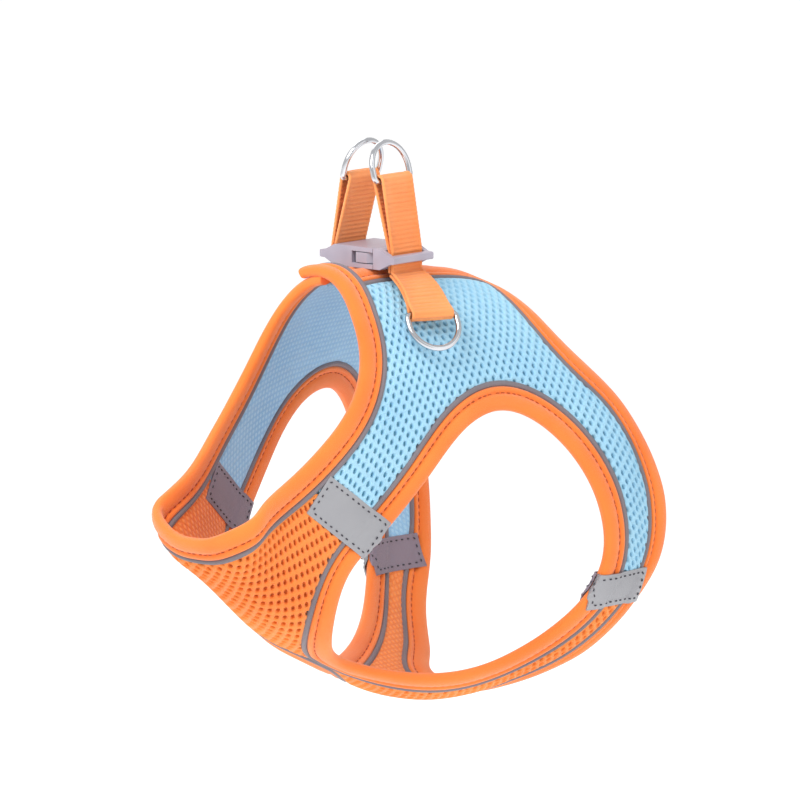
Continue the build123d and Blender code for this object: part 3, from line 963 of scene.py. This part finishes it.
# webbing: ribbed straps folded round the rings' bars

webbing = dict(
    width=20, thick=1.5, ribPitch=2.0, ribDepth=0.45, selvage=1.1,
    ringWire=1.3, ringClear=0.35, slotMiddle=16.45, lowEnd=-6, barY=-9.5, barRise=33.343,
    lowerBar=(-5.2, -35.7, -22.3), lowerAxis=(0.92, -0.39, 0), lowerHang=(-0.212, -0.5, -0.84),
)
foldRadius = webbing["ringWire"] + webbing["ringClear"] + webbing["thick"] / 2


def layWebbing(name, path, wide, thin):
    # path down the strap's middle, wide across it and thin out of its face
    half, edge = webbing["width"] / 2, webbing["selvage"]
    t = webbing["thick"] / 2
    across = np.array([-half, -half + 0.25, -half + edge, -half + edge + 0.4, -4, 0, 4,
                       half - edge - 0.4, half - edge, half - 0.25, half])
    face = np.array([0.25, 0.8, 1, 0.8, 1, 1, 1, 0.8, 1, 0.8, 0.25]) * t
    ribbed = np.array([0, 0.4, 0.3, 1, 1, 1, 1, 1, 0.3, 0.4, 0])
    s = runLength(path)[:, None]
    rib = webbing["ribDepth"] * (np.abs(np.sin(math.pi * s / webbing["ribPitch"])) - 1)
    upper, lower = face[None] + rib * ribbed[None], -face[None] - rib * ribbed[None]
    high = path[:, None] + wide[:, None] * across[None, :, None] + thin[:, None] * upper[..., None]
    low = path[:, None] + wide[:, None] * across[None, ::-1, None] + thin[:, None] * lower[:, ::-1, None]
    points = np.concatenate([high, low], 1)
    around = np.concatenate([across, 2 * half + across])
    uv = np.stack([s + 0 * around[None], around[None] + 0 * s], -1)
    piece = makeMesh(name, points, skinGrid(len(points), len(around), False), uv)
    smooth(piece, 60)
    return piece


def touchPoint(point, centre, side):
    # where a straight strand meets the round fold
    away = point - centre
    angle = math.atan2(away[1], away[0]) + side * math.acos(foldRadius / np.hypot(*away))
    return centre + foldRadius * np.array([math.cos(angle), math.sin(angle)])


def loopPath():
    # across the body: up from the slot, over the ring's bar and down again
    bar = np.array([webbing["barY"], webbing["barRise"]])
    gap = webbing["thick"] / 2 + 0.05
    outer = np.array([-webbing["slotMiddle"] - gap, 3.0])
    inner = np.array([-webbing["slotMiddle"] + gap, 3.0])
    outerTop, innerTop = touchPoint(outer, bar, -1), touchPoint(inner, bar, 1)
    start, end = (math.atan2(*(p - bar)[::-1]) for p in (outerTop, innerTop))
    turn = np.linspace(start, end, 24)
    fold = bar + foldRadius * np.stack([np.cos(turn), np.sin(turn)], -1)
    flat = np.vstack([[outer[0], webbing["lowEnd"]], outer, fold, inner, [inner[0], webbing["lowEnd"]]])
    return evenly(np.column_stack([0 * flat[:, 0], flat]), 0.36)


def crossways(path, wide):
    ahead = unit(np.gradient(path, axis=0))
    return unit(np.cross(ahead, wide))


print("weaving the straps")
path = loopPath()
wide = np.tile([1.0, 0, 0], (len(path), 1))
leftStrap = layWebbing("left_strap_webbing", path, wide, crossways(path, wide))
rightStrap = otherSide(leftStrap, "right_strap_webbing")


def shoulderPath():
    # a doubled strap from the buckle's slot to its fold round the lower ring's bar
    top = np.array([0, -webbing["slotMiddle"], webbing["lowEnd"] - 0.3])
    bar, axis, hang = (unit(np.array(webbing[k], float)) if k != "lowerBar" else np.array(webbing[k], float)
                       for k in ("lowerBar", "lowerAxis", "lowerHang"))
    along = np.linspace(0, 1, 60)[:, None]
    middle = top + (bar - top) * along + np.array([0, -1.2, 1.2]) * np.sin(math.pi * along) * 1.2
    across = unit((1 - along) * np.array([1.0, 0, 0]) + along * axis)
    face = crossways(middle, across)
    if face[-1, 2] < 0:
        face = -face
    spread = 0.78 + (foldRadius - 0.78) * np.clip((along - 0.72) / 0.28, 0, 1) ** 2
    outer, inner = middle + face * spread, middle - face * spread
    turn = np.linspace(0, math.pi, 16)[1:-1, None]
    fold = bar + foldRadius * (np.cos(turn) * face[-1] + np.sin(turn) * unit(np.cross(face[-1], axis)) *
                               np.sign(np.dot(unit(np.cross(face[-1], axis)), hang)))
    points = np.vstack([outer, fold, inner[::-1]])
    wide = np.vstack([across, np.tile(axis, (len(fold), 1)), across[::-1]])
    t = runLength(points)
    at = np.arange(0, t[-1], 0.36)
    even = np.stack([np.interp(at, t, points[:, k]) for k in range(3)], -1)
    return even, unit(np.stack([np.interp(at, t, wide[:, k]) for k in range(3)], -1))


path, wide = shoulderPath()
leftShoulder = layWebbing("left_shoulder_webbing", path, wide, crossways(path, wide))
rightShoulder = otherSide(leftShoulder, "right_shoulder_webbing")
for piece, node in ((leftStrap, "left_strap"), (rightStrap, "right_strap"),
                    (leftShoulder, "left_shoulder_strap"), (rightShoulder, "right_shoulder_strap")):
    dress(piece, "webbing", None)
    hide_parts(node)
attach(leftStrap, "buckle_plug_half")
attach(rightStrap, body)
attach(rightShoulder, body)
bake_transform(leftShoulder)


# rings and buckle keep their CAD shapes and get their finish

def refinish(node, material):
    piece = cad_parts[node]
    piece.data.materials.clear()
    piece.data.materials.append(finish[material])


for node in ("left_upper_ring", "right_upper_ring", "left_lower_ring", "right_lower_ring"):
    refinish(node, "steel")
for node in ("buckle_socket", "buckle_plug", "front_release_arm", "rear_release_arm"):
    refinish(node, "plastic")


# floor, lights and camera

studio = dict(
    azimuth=-49, elevation=8.5, frameWidth=0.3478, lens=500, sensor=36,
    aimRight=0.0102, aimDown=0.0635,
    floorHeight=-0.44, floorSize=60, floorGlow=0.35, worldLight=0.72,
    # azimuth, elevation, distance, size and power of each lamp
    lamps=[("keyLamp", -82, 48, 1.1, 0.7, 9.5), ("fillLamp", 10, 20, 1.4, 1.2, 3.0),
           ("backLamp", 150, 45, 1.3, 0.8, 4.0)],
)


def lookFrom(azimuth, elevation):
    a, e = math.radians(azimuth), math.radians(elevation)
    right = Vector((math.cos(a), math.sin(a), 0))
    back = Vector((math.sin(a) * math.cos(e), -math.cos(a) * math.cos(e), math.sin(e)))
    return right, back.cross(right), back


def placeLike(thing, azimuth, elevation, distance, target):
    right, up, back = lookFrom(azimuth, elevation)
    turn = Matrix((right, up, back)).transposed().to_4x4()
    thing.matrix_world = Matrix.Translation(target + back * distance) @ turn


print("setting the studio")
bpy.ops.object.select_all(action="DESELECT")
bpy.ops.mesh.primitive_plane_add(size=studio["floorSize"], location=(0, 0, studio["floorHeight"]))
floor = bpy.context.object
floor.name = "floor"
floorPaint = bpy.data.materials.new("floorPaint")
floorPaint.use_nodes = True
floorPaint.node_tree.nodes["Principled BSDF"].inputs["Base Color"].default_value = (0.93, 0.93, 0.93, 1)
floorPaint.node_tree.nodes["Principled BSDF"].inputs["Roughness"].default_value = 0.9
floorPaint.node_tree.nodes["Principled BSDF"].inputs["Emission Color"].default_value = (1, 1, 1, 1)
floorPaint.node_tree.nodes["Principled BSDF"].inputs["Emission Strength"].default_value = studio["floorGlow"]
floor.data.materials.append(floorPaint)

world = bpy.data.worlds.new("softRoom")
world.use_nodes = True
world.node_tree.nodes["Background"].inputs["Color"].default_value = (1, 1, 1, 1)
world.node_tree.nodes["Background"].inputs["Strength"].default_value = studio["worldLight"]
bpy.context.scene.world = world

middle = Vector((0, 0, -0.16))
for name, azimuth, elevation, distance, size, power in studio["lamps"]:
    lamp = bpy.data.objects.new(name, bpy.data.lights.new(name, "AREA"))
    lamp.data.size, lamp.data.energy = size, power
    bpy.context.collection.objects.link(lamp)
    placeLike(lamp, azimuth, elevation, distance, middle)

right, up, back = lookFrom(studio["azimuth"], studio["elevation"])
target = Vector((0, 0, -vest["drop"] * mm)) + right * studio["aimRight"] - up * studio["aimDown"]
camera = bpy.data.objects.new("camera", bpy.data.cameras.new("camera"))
camera.data.lens, camera.data.sensor_width = studio["lens"], studio["sensor"]
camera.data.clip_end = 200
bpy.context.collection.objects.link(camera)
cameraDistance = studio["frameWidth"] * studio["lens"] / studio["sensor"]
placeLike(camera, studio["azimuth"], studio["elevation"], cameraDistance, target)
bpy.context.scene.camera = camera
bpy.context.scene.view_settings.view_transform = "Standard"     # plain, unfaded colours
